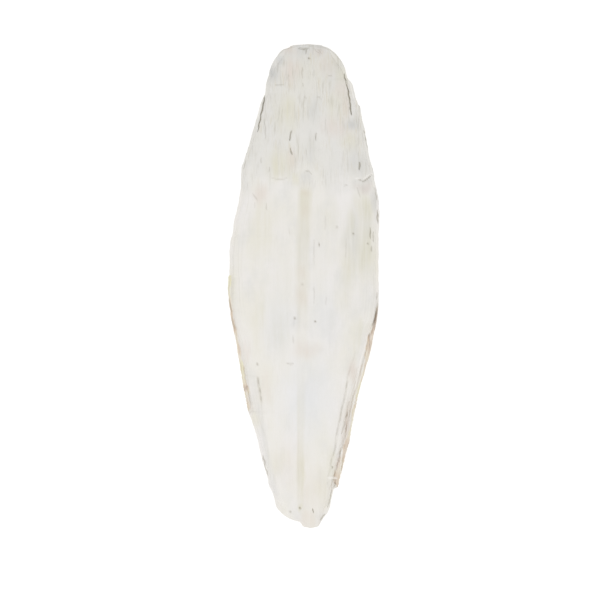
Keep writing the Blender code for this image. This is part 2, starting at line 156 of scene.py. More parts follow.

# Slits and cracks: their points (across, along), half width, depth, darkness of the shade painted in them
SLITS = (
    (((-12.8, 63.6), (-13.0, 62.0), (-13.2, 60.7)), 0.17, 0.7, 0.8),
    (((-13.2, 60.8), (-13.6, 59.2), (-14.2, 55.8), (-15.1, 51.4)), 0.23, 0.9, 0.95),
    (((13.8, 70.2), (14.2, 67.4), (15.0, 64.8)), 0.17, 0.6, 0.7),
    (((14.8, 65.6), (15.6, 61.0), (16.1, 56.4)), 0.29, 0.9, 0.85),
    (((23.0, 36.7), (21.6, 35.7), (20.1, 34.4)), 0.2, 0.5, 0.75),
    (((20.1, 34.4), (19.1, 35.0), (17.3, 34.6)), 0.14, 0.3, 0.6),
    (((-10.3, 35.4), (-7.8, 34.9), (-5.3, 35.4)), 0.24, 0.1, 0.3),
    (((-13.2, 55.2), (-12.6, 52.0), (-12.4, 48.4)), 0.2, 0.2, 0.35),
    (((-4.1, 50.9), (-4.5, 47.8)), 0.26, 0.6, 0.8),
    (((-4.2, 45.3), (-3.6, 43.1)), 0.24, 0.6, 0.7),
    (((4.2, 50.4), (4.2, 48.0)), 0.2, 0.4, 0.5),
    (((18.9, 41.0), (18.6, 38.2)), 0.26, 0.6, 0.7),
    (((22.6, 19.1), (22.4, 15.9)), 0.26, 0.5, 0.7),
    (((23.5, 17.8), (23.4, 14.9)), 0.22, 0.4, 0.5),
    (((22.7, 13.2), (23.0, 11.4)), 0.24, 0.4, 0.6),
    (((5.2, 14.2), (5.4, 12.9)), 0.24, 0.4, 0.7),
    (((14.7, -41.7), (14.3, -43.5)), 0.24, 0.4, 0.7),
    (((13.8, -44.6), (12.9, -49.0)), 0.2, 0.2, 0.35),
    (((12.6, -53.5), (12.0, -58.6)), 0.18, 0.35, 0.4),
    (((13.3, -56.5), (12.8, -61.0)), 0.16, 0.3, 0.4),
    (((15.2, -38.5), (14.6, -42.5), (13.6, -47.5)), 0.17, 0.2, 0.35),
    (((14.6, -46.0), (14.0, -51.0)), 0.17, 0.2, 0.3),
    (((10.8, -64.8), (10.3, -66.6)), 0.22, 0.3, 0.55),
    (((3.1, -73.6), (3.5, -74.8)), 0.2, 0.5, 0.7),
    (((-1.3, 78.6), (0.2, 78.3), (1.7, 78.6)), 0.3, 0.6, 0.6),
    (((1.2, 78.0), (0.8, 76.6)), 0.3, 0.4, 0.6),
    (((3.2, 78.8), (5.3, 76.9)), 0.18, 0.15, 0.25),
    (((4.8, 78.4), (6.3, 76.7)), 0.18, 0.15, 0.2),
    (((-0.3, 72.2), (-0.3, 68.4)), 0.22, 0.15, 0.3),
    (((-0.2, 67.0), (-0.2, 65.6)), 0.2, 0.15, 0.25),
    (((3.6, 72.6), (3.3, 69.0)), 0.2, 0.1, 0.15),
    (((-8.4, 74.0), (-8.6, 70.5)), 0.25, 0.15, 0.25),
    (((-4.8, 69.5), (-4.7, 64.0)), 0.2, 0.1, 0.2),
    (((7.5, 55.0), (7.2, 50.5)), 0.2, 0.1, 0.2),
    (((-14.1, 42.6), (-14.1, 40.4)), 0.22, 0.15, 0.35),
    (((-11.2, 39.2), (-11.4, 37.6)), 0.22, 0.15, 0.4),
    (((-12.3, 27.3), (-12.2, 25.0)), 0.2, 0.1, 0.3),
    (((-16.1, 27.5), (-16.2, 25.6)), 0.2, 0.1, 0.25),
    (((-4.6, 19.2), (-4.6, 16.9)), 0.24, 0.1, 0.2),
    (((3.5, 15.0), (3.6, 7.0)), 0.2, 0.1, 0.2),
    (((3.6, -0.3), (3.6, -6.0)), 0.2, 0.1, 0.25),
    (((7.4, 23.0), (7.3, 18.6)), 0.22, 0.1, 0.15),
    (((14.2, 16.0), (14.2, 9.0)), 0.2, 0.1, 0.2),
    (((7.6, -3.6), (7.6, -6.2)), 0.22, 0.1, 0.2),
    (((-3.3, -16.4), (-3.4, -18.8)), 0.3, 0.1, 0.25),
    (((-9.3, 66.4), (-6.3, 66.5)), 0.22, 0.12, 0.3),
    (((8.3, 69.4), (9.6, 69.4)), 0.22, 0.12, 0.3),
    (((0.3, 62.4), (1.0, 61.8)), 0.22, 0.1, 0.2),
    (((4.5, 62.4), (5.4, 62.2)), 0.24, 0.1, 0.3),
    (((0.5, 37.3), (1.6, 37.8), (2.7, 36.8)), 0.22, 0.12, 0.4),
    (((9.0, -64.3), (11.4, -64.2)), 0.18, 0.2, 0.3),
    (((-5.8, -25.3), (-4.4, -25.8), (-3.2, -25.6)), 0.26, 0.12, 0.35),
    (((-17.0, 30.6), (-16.2, 29.6), (-15.2, 28.3)), 0.24, 0.15, 0.3),
    (((18.1, 32.4), (18.6, 30.6), (19.1, 29.2)), 0.24, 0.15, 0.3),
    (((13.6, 32.9), (14.9, 33.4)), 0.26, 0.12, 0.35),
    (((-19.1, 41.7), (-20.0, 38.6)), 0.2, 0.15, 0.4),
    (((20.3, 51.6), (21.6, 45.6)), 0.2, 0.15, 0.7),
    (((21.8, 44.6), (23.3, 38.4)), 0.22, 0.2, 0.8),
    (((-8.6, 76.2), (-6.4, 78.2), (-2.0, 79.4)), 0.24, 0.0, 0.25),
    (((1.5, 79.4), (6.6, 79.0), (9.4, 77.9), (12.0, 75.0)), 0.24, 0.0, 0.22),
    (((24.0, 32.6), (24.6, 28.4)), 0.2, 0.2, 0.5),
    (((24.9, 25.3), (25.0, 21.0)), 0.24, 0.3, 0.8),
    (((24.7, -2.0), (24.7, -4.4)), 0.2, 0.15, 0.4),
    (((-24.6, -4.2), (-24.4, -6.0), (-24.0, -8.8)), 0.2, 0.1, 0.5),
    (((-23.8, -10.2), (-23.0, -14.4)), 0.2, 0.1, 0.4),
    (((-13.4, -56.2), (-12.6, -60.0), (-11.7, -63.2)), 0.2, 0.3, 0.55),
    (((9.6, -67.4), (9.1, -70.0), (8.2, -73.2)), 0.22, 0.35, 0.5),
    (((7.2, -75.4), (5.8, -77.4)), 0.22, 0.3, 0.6),
)

# Pits: place across, place along, radius, depth, darkness of the shade painted in them
PITS = (
    (1.9, 75.2, 0.36, 0.4, 0.8), (16.7, 17.2, 0.36, 0.4, 0.7), (21.6, 14.1, 0.34, 0.4, 0.6),
    (-2.8, -10.6, 0.42, 0.4, 0.7), (4.0, -11.7, 0.36, 0.4, 0.8), (-15.3, -25.8, 0.4, 0.4, 0.7),
    (9.8, -60.0, 0.36, 0.4, 0.8), (-1.1, -73.4, 0.38, 0.5, 0.75), (-4.3, -74.6, 0.4, 0.3, 0.5),
    (-0.3, 0.5, 0.5, 0.1, 0.3), (11.2, 19.4, 0.5, 0.1, 0.3),
)

# Pale lines of freshly broken layers, some of them painted highlights on lit step edges: their points
# (across, along), half width, strength
PALE_LINES_AND_HIGHLIGHTS = (
    (((22.9, -12.8), (21.4, -16.8), (20.5, -21.0), (19.2, -25.0), (17.4, -34.0)), 0.3, 0.9),
    (((12.9, -52.7), (12.9, -57.0), (12.4, -61.0)), 0.22, 0.8),
    (((13.9, -46.5), (13.3, -50.6)), 0.2, 0.6),
    # The next three lines are painted highlights: a lit step edge, and the lit lips beside the right crack
    (((8.1, -63.5), (11.3, -63.6)), 0.36, 1.0),
    (((23.2, 37.3), (21.5, 36.4), (20.2, 35.2)), 0.25, 0.8),
    (((19.0, 35.7), (17.2, 35.3)), 0.22, 0.6),
    (((15.0, 69.4), (15.9, 66.4), (16.9, 62.0)), 0.3, 0.5),
    (((-14.2, 60.2), (-15.2, 55.6)), 0.3, 0.6),
    (((9.3, -66.2), (8.6, -70.4)), 0.25, 0.7),
)

# Soft patches of colour, and one painted shade beside a pit: place across, place along, half width, half
# length, strength
YELLOW_PATCHES_AND_PIT_SHADE = (
    (-6.0, 57.0, 7.0, 10.0, 0.85), (-8.0, 40.0, 7.5, 8.0, 0.8), (11.5, 60.0, 5.5, 8.0, 0.7),
    (12.5, 70.0, 4.0, 5.0, 0.6), (15.5, 47.5, 5.5, 6.0, 0.5), (-2.5, 35.5, 2.6, 3.6, 0.6),
    (-13.5, 19.0, 7.5, 17.0, 0.4), (20.6, 25.0, 4.6, 9.0, 0.8), (16.0, 20.0, 2.6, 10.0, 0.7),
    (15.0, 7.0, 4.5, 16.0, 0.65), (20.2, 13.0, 6.0, 14.0, 0.9), (13.5, -4.0, 5.0, 9.0, 0.35),
    (18.0, -17.0, 3.4, 12.0, 0.45), (-14.5, -10.0, 5.5, 16.0, 0.35), (-16.3, -44.5, 2.0, 5.0, 0.5),
    # In the next row, the patch at 9.2 across, -58.5 along is painted shade beside the pit
    (-9.0, -59.0, 6.0, 8.0, 0.3), (6.5, -66.0, 3.5, 13.0, 0.3), (9.2, -58.5, 2.4, 8.0, 0.55),
    (-1.1, -73.4, 1.8, 1.8, 0.8), (-0.3, -61.0, 1.2, 8.0, 0.7), (1.0, 70.0, 12.0, 12.0, 0.25),
    (9.5, 73.5, 5.0, 5.0, 0.5), (2.0, -77.5, 6.0, 5.0, 0.35), (-9.0, -15.0, 8.0, 12.0, 0.25),
)
PINK_PATCHES = (
    (-4.0, 71.0, 5.0, 7.0, 0.75), (5.0, 77.5, 4.0, 3.0, 0.8), (-4.0, 78.0, 4.0, 3.0, 0.8),
    (8.0, 73.0, 5.0, 5.0, 0.5),
    (12.5, 65.0, 4.0, 5.0, 0.6), (14.0, 59.0, 2.4, 7.0, 0.7), (11.0, 52.5, 7.0, 6.0, 0.65),
    (-3.2, 42.0, 3.5, 6.0, 0.5), (-14.0, 30.0, 4.5, 5.0, 0.6), (20.0, 32.5, 4.4, 2.6, 0.9),
    (0.7, 30.6, 2.2, 1.6, 1.0), (0.7, 25.0, 2.6, 4.0, 0.8), (-0.6, 4.5, 2.6, 4.0, 0.6),
    (-0.6, -3.0, 3.0, 6.0, 0.6), (1.3, -21.3, 6.5, 4.5, 0.6), (2.0, -77.5, 6.0, 4.5, 0.5),
    (-13.0, -34.0, 4.0, 9.0, 0.3), (-19.0, -22.0, 1.8, 6.0, 0.7), (16.3, -28.0, 2.6, 7.0, 0.7),
    (14.3, -45.0, 2.6, 10.0, 0.8), (11.6, -59.8, 1.4, 5.0, 1.0), (-4.0, -58.0, 8.0, 14.0, 0.25),
    (3.0, -68.0, 7.0, 12.0, 0.3),
)
GREY_PATCHES = (
    (-10.0, 70.5, 3.4, 5.5, 0.9), (-8.5, 75.0, 3.4, 3.0, 0.7), (1.0, 79.5, 14.0, 8.0, 0.6),
    (3.5, 58.0, 3.4, 8.0, 0.4), (2.5, 44.0, 3.4, 10.0, 0.5), (1.0, 35.5, 3.0, 3.0, 0.6),
    (16.5, 53.5, 4.0, 3.0, 0.8), (18.0, 41.0, 4.5, 7.0, 0.5), (-17.0, 47.5, 3.0, 5.0, 0.1),
    (9.5, 10.0, 5.0, 7.0, 0.2), (-3.2, -12.0, 2.0, 3.5, 0.5), (-9.0, 56.0, 6.0, 16.0, 0.2),
    (-1.5, -11.0, 3.0, 8.0, 0.35), (19.5, 33.0, 5.0, 4.0, 0.5), (10.0, 71.5, 6.0, 8.0, 0.3),
    (-9.0, -14.0, 8.0, 16.0, 0.2), (20.0, 19.0, 5.0, 16.0, 0.35), (23.5, 28.0, 2.4, 6.0, 0.5),
    (9.5, 20.0, 6.0, 18.0, 0.2), (9.0, -14.0, 7.0, 16.0, 0.2), (17.5, 16.0, 7.0, 18.0, 0.5),
    (2.0, 4.0, 26.0, 42.0, 0.13),
)
COOL_PATCHES = (
    (1.0, -37.0, 15.0, 24.0, 0.5), (-8.0, -12.0, 9.0, 18.0, 0.4), (7.0, -10.0, 9.0, 18.0, 0.25),
)

# Horny rim: distance along, left width, right width, left tone, right tone, from pale to dark
HORN = (
    (-80.0, 0.0, 0.0, 0.2, 0.3), (-66.8, 0.0, 0.0, 0.2, 0.7), (-66.4, 0.0, 1.8, 0.2, 0.65),
    (-63.0, 0.0, 1.7, 0.2, 0.45), (-60.0, 0.0, 1.3, 0.2, 0.3), (-56.0, 0.0, 1.4, 0.2, 0.5),
    (-53.0, 0.0, 1.6, 0.2, 0.6), (-50.0, 0.0, 0.9, 0.2, 0.3), (-45.0, 0.0, 0.5, 0.3, 0.3),
    (-41.8, 0.0, 0.8, 0.3, 0.35), (-41.2, 0.9, 0.8, 0.4, 0.2), (-38.0, 1.0, 0.8, 0.3, 0.3),
    (-36.5, 1.3, 0.8, 0.2, 0.0), (-34.5, 1.3, 0.7, 0.65, 0.1), (-33.0, 1.3, 0.6, 0.25, 0.0),
    (-31.0, 1.4, 0.7, 0.1, 0.4), (-29.0, 1.4, 0.7, 0.0, 0.4), (-26.0, 1.2, 0.9, 0.05, 0.45),
    (-24.5, 0.9, 1.7, 0.4, 0.35), (-20.0, 1.0, 1.9, 0.45, 0.6), (-17.5, 1.0, 1.8, 0.4, 0.65),
    (-15.5, 0.9, 1.6, 0.5, 0.7), (-12.5, 0.9, 1.0, 0.65, 0.8), (-7.0, 0.7, 0.4, 0.5, 0.85),
    (-2.5, 0.9, 0.0, 0.1, 0.5), (0.0, 1.0, 0.0, 0.0, 0.5), (3.0, 1.0, 0.0, 0.0, 0.5),
    (3.5, 0.0, 0.0, 0.0, 0.5), (80.0, 0.0, 0.0, 0.0, 0.0),
)

# Cross section: its swelling, the rounded ends and the rim
MARGIN_POWER = 1.3
BOW_POWER = 2.0
END_ROUNDING = 4.5
TAIL_TROUGH = 0.8
TROUGH_START = -25.0
TROUGH_FULL = -55.0
DOME_POWER_TAIL = 3.6
DOME_POWER_FRONT = 2.3
DOME_EDGE_POWER = 0.92
WALL_FOOT_SHARE = 0.965
SMALLEST_FULL_HALF = 11.0
RIM_LEAST = 0.1
RIM_EDGE = 0.3

# The body follows the outline averaged over these shifts, so that chips stay in the rim
CALM_SHIFTS = (-6.0, -4.0, -2.0, 0.0, 2.0, 4.0, 6.0)

# Serrated run of each outer edge: from, to, fade. Its teeth have a pitch, a height and a middle level.
SERRATED = {LEFT: (-41.0, -28.0, 1.0), RIGHT: (-66.0, -37.0, 1.5)}
TEETH_PITCH = 1.1
TEETH_HEIGHT = 0.22
TEETH_LEVEL = 0.6

# Where the rough front begins, and where the side wall does, in shares of the body's width
FRONT_RUN = (30.0, 40.0)
WALL_SHARES = (0.72, 0.97)

# Surface relief: streaks and scratches, fading toward the rim, wall steps and edge layers
ROUGH_RANGE = (-0.25, 0.35)
ROUGH_BEHIND = 0.15
STREAK_LEAST = 0.012
STREAK_MORE = 0.075
STREAK_DOME = 4.0
SCRATCH_WIDTH = 0.06
SCRATCH_DEPTH = 0.08
SCRATCH_DOME = 3.0
WALL_STEP_HEIGHT = 0.02
WALL_STEP_PITCH = 0.85
LAYER_PITCH = 0.75
LAYER_HEIGHT = 0.07
LAYER_FULL_SHARE = 0.6
LAYER_WIDTH_RANGE = (0.1, 0.8)
THINNEST_STRIP = 0.01

# Strips in which those layers crop out on each side: width, from, to, fade
LAYER_STRIPS = {
    LEFT: ((2.2, -41.0, -28.0, 2.0), (1.0, -27.0, 3.0, 1.0)),
    RIGHT: ((3.4, -66.0, -28.0, 3.0), (1.2, -30.0, -8.0, 3.0)),
}

# Slits taper and swell, pits fade past their radius, the painted shade of limb grooves breaks up and the
# furrow's tint fades
SLIT_TAPER = 0.6
SLIT_SWELL = 1.4
PIT_SPREAD = 1.5
LIMB_BREAK_RANGE = (-0.5, 0.2)
STAIN_RANGE = (1.3, 0.45)

# Grey band beside the left limb of the tail: distance from the limb, half width, run, strength
BAND_OFFSET = 0.7
BAND_HALF_WIDTH = 1.6
BAND_RUN = (-68.0, -40.0, 4.0)
BAND_STRENGTH = 0.35

# Horn of the rim: slant of its tones, softness of its inner edge, cover, and tone on the outer edge
HORN_SLANT = 0.9
HORN_EDGE = 0.25
HORN_COVER = 0.85
HORN_WIDTH_RANGE = (0.05, 0.3)
RIM_TONE = 0.35

# The back: its bow, the hollow of each flank, three ribs, growth arcs and granules
BACK_POWER = 2.2
BACK_FLANK_HOLLOW = 0.4
BACK_FLANK_PLACE = 0.62
BACK_FLANK_WIDTH = 0.12
BACK_EDGE_SHARES = (1.0, 0.85)
RIB_HEIGHT = 0.22
RIB_WIDTH = 0.09
SIDE_RIB_PLACE = 0.36
SIDE_RIB_STRENGTH = 0.8
GRANULE_HEIGHT = 0.12
ARC_HEIGHT = 0.07
ARC_PITCH = 3.2
ARC_SWEEP = 26.0
ARC_RANGE = (-0.6, 0.4)

# Colour of the back's dips, and its horny margin, which is stronger toward the tail
DIP_LEVEL = 0.3
DIP_GRANULES = 0.5
DIP_ARCS = 0.12
DIP_RIBS = 0.3
BACK_HORN_SHARES = (0.72, 0.95)
BACK_HORN_RUN = (20.0, -30.0)
BACK_HORN_LEAST = 0.35
BACK_HORN_END = (1.0, 0.97)
BACK_HORN_TONE = 0.62

# Noise fields: strength, pitch across, pitch along, layer
PATCH_WARP_ACROSS = (1.3, 2.6, 6.0, 61)
PATCH_WARP_ALONG = (1.3, 3.5, 7.0, 67)
STAIN_WANDER = (0.25, 1.6, 9.0, 101)
FRONT_WANDER = (5.0, 3.0, 6.0, 29)
LIMB_BREAKS = (1.0, 1.2, 2.5, 73)
SLIT_WANDER = (0.3, 1.1, 1.6, 51)
SLIT_SWELLING = (0.6, 1.0, 1.8, 53)
HORN_WANDER = (0.7, 0.8, 1.6, 103)
HORN_TONES = (0.2, 0.5, 4.5, 83)
HORN_NICKS = (0.3, 1.0, 1.5, 31)
HORN_THINNING = (0.5, 0.6, 2.6, 107)
LAYER_WANDER = (1.3, 2.5, 9.0, 71)
BELLY_WAVES = (0.14, 4.0, 26.0, 3)
ROUGH_AREAS = (1.0, 4.5, 12.0, 37)
STREAK_RELIEF = (1.0, 0.9, 9.0, 13)
FINE_STREAK_RELIEF = (0.8, 0.55, 4.5, 17)
SCRATCHES = (1.0, 1.8, 11.0, 19)
WALL_WANDER = (0.8, 5.0, 18.0, 23)
BACK_LUMPS = (0.18, 5.0, 5.0, 11)
BACK_GRANULES = (1.0, 1.7, 1.5, 41)
ARC_WANDER = (2.0, 9.0, 9.0, 43)
ARC_AREAS = (1.0, 7.0, 6.0, 97)
BACK_HORN_WANDER = (0.06, 3.0, 6.0, 47)
BACK_HORN_TONES = (0.25, 4.0, 8.0, 89)

# Noise that changes along the bone only: strength, pitch, layer
EDGE_WEAR = (0.28, 4.5, 0)
FINE_EDGE_WEAR = (0.12, 1.5, 3)
TEETH_WANDER = (1.0, 3.0, 0)
LIMB_WANDER = (0.4, 3.5, 79)
HORN_RAGGED = (0.5, 4.0, 31)
EDGE_LAYERS_APART = 7

# Mesh layout: rings along the bone, columns round it, belly columns in runs between fixed lines
RINGS = 380
EVEN_RING_SHARE = 0.8
DOME_RUNS = 6
COLUMNS_IN_RUN = (3, 3, 9, 9, 9, 9, 9, 9, 2, 2, 9, 9, 4, 3, 3, 6)
RIM_COLUMNS = 5
BACK_COLUMNS = 27


def smooth_step(start, end, value):
    """0 at the start, 1 at the end, and a smooth rise between them."""
    part = np.clip((value - start) / (end - start), 0.0, 1.0)
    return part * part * (3.0 - 2.0 * part)


def window(low, high, fade, value):
    """1 between low and high, fading out over a short run outside them."""
    return smooth_step(low - fade, low, value) * smooth_step(high + fade, high, value)


def ridge(offset, half_width):
    """1 at the middle of a straight-sided ridge or groove, and 0 beyond its half width."""
    return np.maximum(1.0 - np.abs(offset) / half_width, 0.0)


def curve(rows, item, along):
    """One value of a station list at places along the bone, on a smooth curve without overshoot."""
    places = np.array([row[0] for row in rows])
    values = np.array([row[item] for row in rows])
    runs = np.diff(places)
    slopes = np.diff(values) / runs
    before, after = slopes[:-1], slopes[1:]
    same_way = before * after > 0.0
    total = np.where(same_way, before + after, 1.0)
    inner = np.where(same_way, 2.0 * before * after / total, 0.0)
    steepness = np.concatenate((slopes[:1], inner, slopes[-1:]))
    along = np.clip(along, places[0], places[-1])
    index = np.clip(np.searchsorted(places, along) - 1, 0, len(rows) - 2)
    part = (along - places[index]) / runs[index]
    rise = values[index + 1] - values[index]
    start_bend = rise - steepness[index] * runs[index]
    end_bend = rise - steepness[index + 1] * runs[index]
    bend = part * (1.0 - part) * ((1.0 - part) * start_bend - part * end_bend)
    return values[index] + part * rise - bend


def noise_field(across, along, field, layer_shift=0):
    """Smooth noise at each point, as strong as its field says."""
    strength, pitch_across, pitch_along, layer = field
    across, along = np.broadcast_arrays(across, along)
    pairs = zip((across / pitch_across).ravel(), (along / pitch_along).ravel())
    values = [noise.noise(Vector((first, second, layer + layer_shift))) for first, second in pairs]
    return strength * np.array(values).reshape(across.shape)


def noise_along(along, field, layer_shift):
    """Smooth noise that changes along the bone only."""
    strength, pitch, layer = field
    return noise_field(along, 0.0, (strength, pitch, pitch, layer), layer_shift)


def slit(across, along, path, half_width):
    """1 along a path of straight pieces, 0 beyond its half width, and narrower at both ends."""
    nearest = np.full(across.shape, np.inf)
    share = np.zeros(across.shape)
    pieces = len(path) - 1
    for number, ((start_x, start_y), (end_x, end_y)) in enumerate(zip(path, path[1:])):
        run_x, run_y = end_x - start_x, end_y - start_y
        reach = ((across - start_x) * run_x + (along - start_y) * run_y) / (run_x ** 2 + run_y ** 2)
        reach = np.clip(reach, 0.0, 1.0)
        offset = np.hypot(across - start_x - reach * run_x, along - start_y - reach * run_y)
        share = np.where(offset < nearest, (number + reach) / pieces, share)
        nearest = np.minimum(nearest, offset)
    return ridge(nearest, half_width * (1.0 - SLIT_TAPER * np.abs(2.0 * share - 1.0) ** 3))


def spot(across, along, place_x, place_y, half_x, half_y):
    """1 in the middle of an oval spot, fading to 0 at its edge."""
    reach = np.hypot((across - place_x) / half_x, (along - place_y) / half_y)
    return 1.0 - smooth_step(0.0, 1.0, reach)


def patches(across, along, rows):
    """Strongest of several soft spots at each point, with wandering edges."""
    across = across + noise_field(across, along, PATCH_WARP_ACROSS)
    along = along + noise_field(across, along, PATCH_WARP_ALONG)
    total = np.zeros(across.shape)
    for place_x, place_y, half_x, half_y, strength in rows:
        total = np.maximum(total, strength * spot(across, along, place_x, place_y, half_x, half_y))
    return total


def ring_places():
    """Distances along the bone of all rings, front to tail, closer together at the ends."""
    share = np.arange(RINGS + 1) / RINGS
    crowded = np.cos(math.pi * share)
    return 0.5 * LENGTH * (EVEN_RING_SHARE * (1.0 - 2.0 * share) + (1.0 - EVEN_RING_SHARE) * crowded)


def keel_height(along):
    """Height of the back's middle line, a shallow bow that lifts both ends."""
    front = np.maximum(along - LOWEST_ALONG, 0.0) / (0.5 * LENGTH - LOWEST_ALONG)
    tail = np.maximum(LOWEST_ALONG - along, 0.0) / (0.5 * LENGTH + LOWEST_ALONG)
    return FRONT_LIFT * front ** BOW_POWER + TAIL_LIFT * tail ** BOW_POWER


class Half:
    """One side of the bone: widths and heights for all rings at once, one row a ring."""

    def __init__(self, along, side):
        self.side = side
        self.along = along[:, None]
        self.middle = curve(MIDDLE, 1, self.along)
        self.crown = curve(CROWN, 1, self.along)
        self.keel = keel_height(self.along)
        edge = self.edge_distance(self.along)
        self.half = edge + self.edge_wear() * smooth_step(0.0, SMALLEST_FULL_HALF, edge)
        calm = np.mean([self.edge_distance(self.along + shift) for shift in CALM_SHIFTS], axis=0)
        self.margin = self.keel + MARGIN_RISE * (2.0 * calm / WIDTH) ** MARGIN_POWER
        self.shrink = np.minimum(self.half / SMALLEST_FULL_HALF, 1.0)
        self.gap = GAP_WIDTH * self.shrink
        inner = np.minimum(calm, self.half - RIM_LEAST * self.shrink)
        self.body = inner - curve(LEDGE, side, self.along) * self.shrink - self.gap
        self.limb = np.minimum(curve(LIMB_LINE, side, self.along), LIMB_LARGEST_SHARE * self.body)
        self.furrow = np.minimum(curve(FURROW, 1, self.along), FURROW_LARGEST_SHARE * self.limb)
        self.rim_edge = RIM_EDGE * self.shrink
        into_end = np.maximum(np.abs(self.along) - (0.5 * LENGTH - END_ROUNDING), 0.0) / END_ROUNDING
        self.end_share = np.sqrt(np.maximum(1.0 - into_end ** 2, 0.0))

    def edge_distance(self, along):
        """Distance of the drawn outline from the middle line."""
        return np.abs(curve(OUTLINE, self.side, along) - curve(MIDDLE, 1, along))

    def edge_wear(self):
        """Worn, nicked and serrated course of the outer edge."""
        shift = EDGE_LAYERS_APART * self.side
        wear = noise_along(self.along, EDGE_WEAR, shift) + noise_along(self.along, FINE_EDGE_WEAR, shift)
        wander = noise_along(self.along, TEETH_WANDER, shift)
        teeth = np.abs(np.sin(math.pi * (self.along + wander) / TEETH_PITCH))
        return wear + TEETH_HEIGHT * window(*SERRATED[self.side], self.along) * (teeth - TEETH_LEVEL)

    def across(self, distance):
        """Place across the bone at a distance from the middle line."""
        return self.middle + (distance if self.side == RIGHT else -distance)

    def rounded(self, height):
        """A height drawn toward the middle of the thickness, at the rounded ends."""
        centre = 0.5 * (self.margin + self.crown)
        return centre + (height - centre) * self.end_share

    def belly_distances(self):
        """Distances of the belly's columns from the middle line, out to the rim's edge."""
        lip = 0.5 * LIMB_WIDTH * self.shrink
        dome_run = (self.limb - lip - self.furrow) / DOME_RUNS
        foot = WALL_FOOT_SHARE * self.body
        lines = [0.0 * self.half, 0.5 * self.furrow, self.furrow]
        lines += [self.furrow + dome_run * run for run in range(1, DOME_RUNS + 1)]
        lines += [self.limb, self.limb + lip, 0.5 * (self.limb + lip + foot), foot, self.body]
        lines += [self.body + 0.5 * self.gap, self.body + self.gap, self.half - self.rim_edge]
        columns = [lines[0]]
        for start, end, count in zip(lines, lines[1:], COLUMNS_IN_RUN):
            columns += [start + (end - start) * step / count for step in range(1, count + 1)]
        return np.hstack(columns)

    def growth_step(self, distance):
        """Height gained at the crosswise step, fading forward."""
        line = STEP_ALONG + STEP_FORWARD * (2.0 * distance / WIDTH) ** 3
        ahead = smooth_step(0.0, STEP_LENGTH, self.along - line)
        return STEP_HEIGHT * ahead * (1.0 - smooth_step(0.0, STEP_FADE, self.along - line))

    def dome(self, distance):
        """1 on the middle line, falling to 0 at the edge of the body."""
        share = np.minimum(distance / self.body, 1.0)
        forward = smooth_step(TROUGH_FULL, STEP_ALONG, self.along)
        power = DOME_POWER_TAIL + (DOME_POWER_FRONT - DOME_POWER_TAIL) * forward
        return np.maximum(1.0 - share ** power, 0.0) ** DOME_EDGE_POWER

    def belly_form(self, distance, dome, in_gap, in_limb):
        """Heights of the belly and of the rim's upper face before the finer relief."""
        ledge = self.margin + 0.5 * RIM_THICKNESS
        height = ledge + (self.crown - ledge + self.growth_step(distance)) * dome
        trough = TAIL_TROUGH * smooth_step(TROUGH_START, TROUGH_FULL, self.along)
        height -= trough * np.maximum(1.0 - (distance / self.limb) ** 2, 0.0)
        in_furrow = np.maximum(1.0 - (distance / self.furrow) ** 2, 0.0) ** 2
        height -= curve(FURROW, 2, self.along) * in_furrow
        height -= curve(GAP, self.side, self.along) * in_gap
        return height - curve(LIMB_DEPTH, self.side, self.along) * in_limb

    def belly(self):
        """Places, heights and surface masks of the belly and the rim's upper face."""
        distance = self.belly_distances()
        across = self.across(distance)
        along = np.broadcast_to(self.along, across.shape)
        dome = self.dome(distance)
        in_gap = ridge(distance - self.body - 0.5 * self.gap, 0.5 * self.gap)
        wander = noise_along(self.along, LIMB_WANDER, self.side)
        in_limb = ridge(distance - self.limb - wander, 0.5 * LIMB_WIDTH)
        height = self.belly_form(distance, dome, in_gap, in_limb)
        front = smooth_step(*FRONT_RUN, along + noise_field(across, along, FRONT_WANDER))
        wall = smooth_step(*WALL_SHARES, distance / self.body) * (dome > 0.0)
        height += self.surface_grain(across, along, height, dome, front, wall)

        broken = smooth_step(*LIMB_BREAK_RANGE, noise_field(across, along, LIMB_BREAKS))
        # Painted shade: colour darkened in the gap, the limb grooves, slits and pits, where shade falls
        gap_shade = curve(GAP, self.side + 2, self.along) * in_gap
        limb_shade = curve(LIMB_DEPTH, self.side + 2, self.along) * in_limb * broken
        depth, crevice_shade, pale = self.breaks(across, along)
        height -= depth
        crevice_shade = np.maximum(np.maximum(gap_shade, limb_shade), crevice_shade)

        band = ridge(distance - self.limb - BAND_OFFSET, BAND_HALF_WIDTH) * window(*BAND_RUN, along)
        band *= BAND_STRENGTH * (self.side == LEFT)
        stained = distance / self.furrow + noise_field(across, along, STAIN_WANDER)
        inward = self.half - distance
        lines, strip = self.edge_layers(inward, across, along)
        height += LAYER_HEIGHT * strip * lines
        horn, tone = self.horn(inward, across, along)
        masks = {
            "front": front, "wall": wall, "crevice_shade": crevice_shade, "horn": horn, "horn_tone": tone, "pale": pale,
            "furrow": curve(FURROW, 3, self.along) * smooth_step(*STAIN_RANGE, stained),
            "lines": strip * (0.5 - 0.5 * lines),
            "yellow": patches(across, along, YELLOW_PATCHES_AND_PIT_SHADE),
            "pink": patches(across, along, PINK_PATCHES),
            "grey": np.maximum(patches(across, along, GREY_PATCHES), band),
            "cool": patches(across, along, COOL_PATCHES),
            "dip": 0.0 * across, "back": 0.0 * across,
        }
        return across, self.rounded(height), masks

